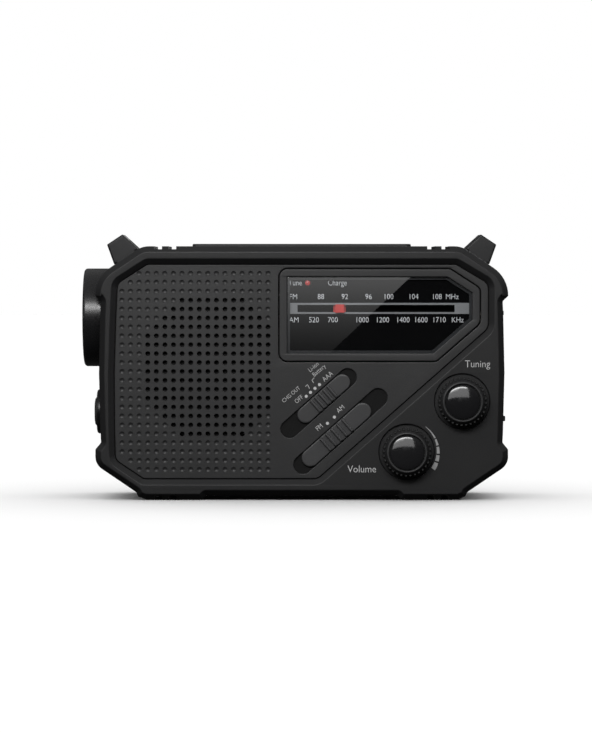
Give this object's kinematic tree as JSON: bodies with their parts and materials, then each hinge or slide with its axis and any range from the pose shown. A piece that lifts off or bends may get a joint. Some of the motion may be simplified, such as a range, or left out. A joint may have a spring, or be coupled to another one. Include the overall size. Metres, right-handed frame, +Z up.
{
  "type": "emergency radio",
  "caption": "Emergency radio with a recessed grille and dial panel, two knobs, slide switches, an end torch, a top solar cell, a telescopic aerial and a folding rear crank.",
  "frame": {"origin": "middle of the bounding box's underside, on the surface that the feet stand on", "axes": "+X to the right seen from the front, +Y from the front to the back, +Z up"},
  "size_m": [0.171, 0.0636, 0.1064],
  "materials": {
    "case_plastic": "fine spark texture",
    "panel_plastic": "fine spark texture",
    "gloss_cap": "polished",
    "clear_plastic": "polished",
    "dial_print": "satin",
    "red_plastic": "satin",
    "white_plastic": "smooth",
    "cord_thread": "woven",
    "steel": "brushed",
    "chrome": "polished",
    "brass": "machined",
    "lamp_white": "smooth",
    "black_cloth": "woven",
    "paper_cone": "felted",
    "circuit_board": "satin",
    "solar_glass": "polished",
    "black_rubber": "matte",
    "cell_wrap": "printed sleeve"
  },
  "bodies": {
    "root": {"front_case": "case_plastic", "rear_case": "case_plastic", "solar_bezel": "case_plastic", "strap_lug_left": "case_plastic", "strap_lug_right": "case_plastic", "torch_bezel": "case_plastic", "torch_button_collar": "case_plastic", "front_panel": "panel_plastic", "dial_bezel": "panel_plastic", "dial_lens": "clear_plastic", "torch_lens": "clear_plastic", "dial_plate": "dial_print", "tune_lamp": "red_plastic", "tuning_control": "white_plastic", "dial_cord": "cord_thread", "volume_control": "steel", "power_switch": "steel", "band_switch": "steel", "speaker_basket": "steel", "port_sockets": "steel", "generator_housing": "steel", "gearbox_plate": "steel", "case_screw_1": "steel", "case_screw_2": "steel", "case_screw_3": "steel", "case_screw_4": "steel", "torch_reflector": "chrome", "torch_lamp": "lamp_white", "speaker_cloth": "black_cloth", "speaker_cone": "paper_cone", "main_board": "circuit_board", "solar_cell": "solar_glass", "aaa_cell_1": "cell_wrap", "aaa_cell_2": "cell_wrap", "aaa_cell_3": "cell_wrap", "lithium_cell": "cell_wrap"},
    "tuning": {"tuning_knob": "case_plastic", "tuning_knob_cap": "gloss_cap", "tuning_drum": "white_plastic"},
    "pointer": {"dial_pointer": "red_plastic"},
    "pulley_left": {"cord_pulley_left": "white_plastic"},
    "pulley_right": {"cord_pulley_right": "white_plastic"},
    "volume": {"volume_knob": "case_plastic", "volume_knob_cap": "gloss_cap"},
    "power": {"power_slider": "panel_plastic"},
    "band": {"band_slider": "panel_plastic"},
    "torch_push": {"torch_button": "black_rubber"},
    "siren": {"siren_slider": "panel_plastic"},
    "cover": {"port_cover": "black_rubber"},
    "door": {"battery_door": "case_plastic"},
    "crank": {"crank_arm": "case_plastic", "crank_gear": "white_plastic"},
    "handle": {"crank_handle": "steel"},
    "grip": {"crank_grip": "panel_plastic"},
    "idler": {"idler_gear": "white_plastic"},
    "rotor": {"generator_rotor": "brass"},
    "aerial_swivel": {"aerial_base": "chrome"},
    "aerial_outer": {"aerial_section_1": "chrome"},
    "aerial_middle": {"aerial_section_2": "chrome"},
    "aerial_inner": {"aerial_section_3": "chrome"}
  },
  "joints": [
    {"name": "tuning_turn", "type": "hinge", "parent": "root", "child": "tuning", "pos_m": [0.06697, -0.02215, 0.0394], "axis": [0, 1, 0], "range_deg": [-71.6, 211]},
    {"name": "pointer_slide", "type": "slide", "parent": "root", "child": "pointer", "axis": [1, 0, 0], "range_m": [-0.0151, 0.0443]},
    {"name": "pulley_left_turn", "type": "hinge", "parent": "root", "child": "pulley_left", "pos_m": [-0.00623, -0.01665, 0.077], "axis": [0, 1, 0], "range_deg": [-290, 850]},
    {"name": "pulley_right_turn", "type": "hinge", "parent": "root", "child": "pulley_right", "pos_m": [0.07077, -0.01665, 0.077], "axis": [0, 1, 0], "range_deg": [-290, 850]},
    {"name": "volume_turn", "type": "hinge", "parent": "root", "child": "volume", "pos_m": [0.04477, -0.02215, 0.0192], "axis": [0, 1, 0], "range_deg": [-150, 150]},
    {"name": "power_slide", "type": "slide", "parent": "root", "child": "power", "axis": [0.7466, 0, 0.6652], "range_m": [-0.0046, 0.0024]},
    {"name": "band_slide", "type": "slide", "parent": "root", "child": "band", "axis": [0.7466, 0, 0.6652], "range_m": [0, 0.0038]},
    {"name": "torch_press", "type": "slide", "parent": "root", "child": "torch_push", "axis": [1, 0, 0], "range_m": [0, 0.0012], "stiffness_N_per_m": 400, "springref_m": -0.0004},
    {"name": "siren_slide", "type": "slide", "parent": "root", "child": "siren", "axis": [0, 1, 0], "range_m": [-0.002, 0.002]},
    {"name": "cover_swing", "type": "hinge", "parent": "root", "child": "cover", "pos_m": [0.08367, -0.00285, 0.042], "axis": [0, 1, 0], "range_deg": [0, 110]},
    {"name": "door_swing", "type": "hinge", "parent": "root", "child": "door", "pos_m": [-0.04473, 0.03185, 0.0258], "axis": [-1, 0, 0], "range_deg": [0, 100]},
    {"name": "crank_turn", "type": "hinge", "parent": "root", "child": "crank", "pos_m": [0.02977, 0.02585, 0.0482], "axis": [0, 1, 0], "continuous": true},
    {"name": "handle_fold", "type": "hinge", "parent": "crank", "child": "handle", "pos_m": [-0.00323, 0.02675, 0.0482], "axis": [0, 0, 1], "range_deg": [0, 90]},
    {"name": "grip_spin", "type": "hinge", "parent": "handle", "child": "grip", "pos_m": [0.00777, 0.02675, 0.0482], "axis": [1, 0, 0], "continuous": true},
    {"name": "idler_turn", "type": "hinge", "parent": "root", "child": "idler", "pos_m": [0.01793, 0.01585, 0.07045], "axis": [0, 1, 0], "continuous": true},
    {"name": "rotor_turn", "type": "hinge", "parent": "root", "child": "rotor", "pos_m": [-0.00327, 0.01185, 0.07045], "axis": [0, 1, 0], "continuous": true},
    {"name": "aerial_swing", "type": "hinge", "parent": "root", "child": "aerial_swivel", "pos_m": [0.07277, 0.02745, 0.0945], "axis": [0, 1, 0], "range_deg": [0, 180]},
    {"name": "aerial_tilt", "type": "hinge", "parent": "aerial_swivel", "child": "aerial_outer", "pos_m": [0.07277, 0.02745, 0.0945], "axis": [0, 0, -1], "range_deg": [0, 90]},
    {"name": "aerial_draw_1", "type": "slide", "parent": "aerial_outer", "child": "aerial_middle", "axis": [-1, 0, 0], "range_m": [0, 0.1]},
    {"name": "aerial_draw_2", "type": "slide", "parent": "aerial_middle", "child": "aerial_inner", "axis": [-1, 0, 0], "range_m": [0, 0.1]}
  ],
  "couplings": [
    {"joint": "pointer_slide", "follows": "tuning_turn", "m_per_rad": 0.012},
    {"joint": "pulley_left_turn", "follows": "tuning_turn", "ratio": 4},
    {"joint": "pulley_right_turn", "follows": "tuning_turn", "ratio": 4},
    {"joint": "idler_turn", "follows": "crank_turn", "ratio": -4},
    {"joint": "rotor_turn", "follows": "crank_turn", "ratio": 12.8}
  ]
}
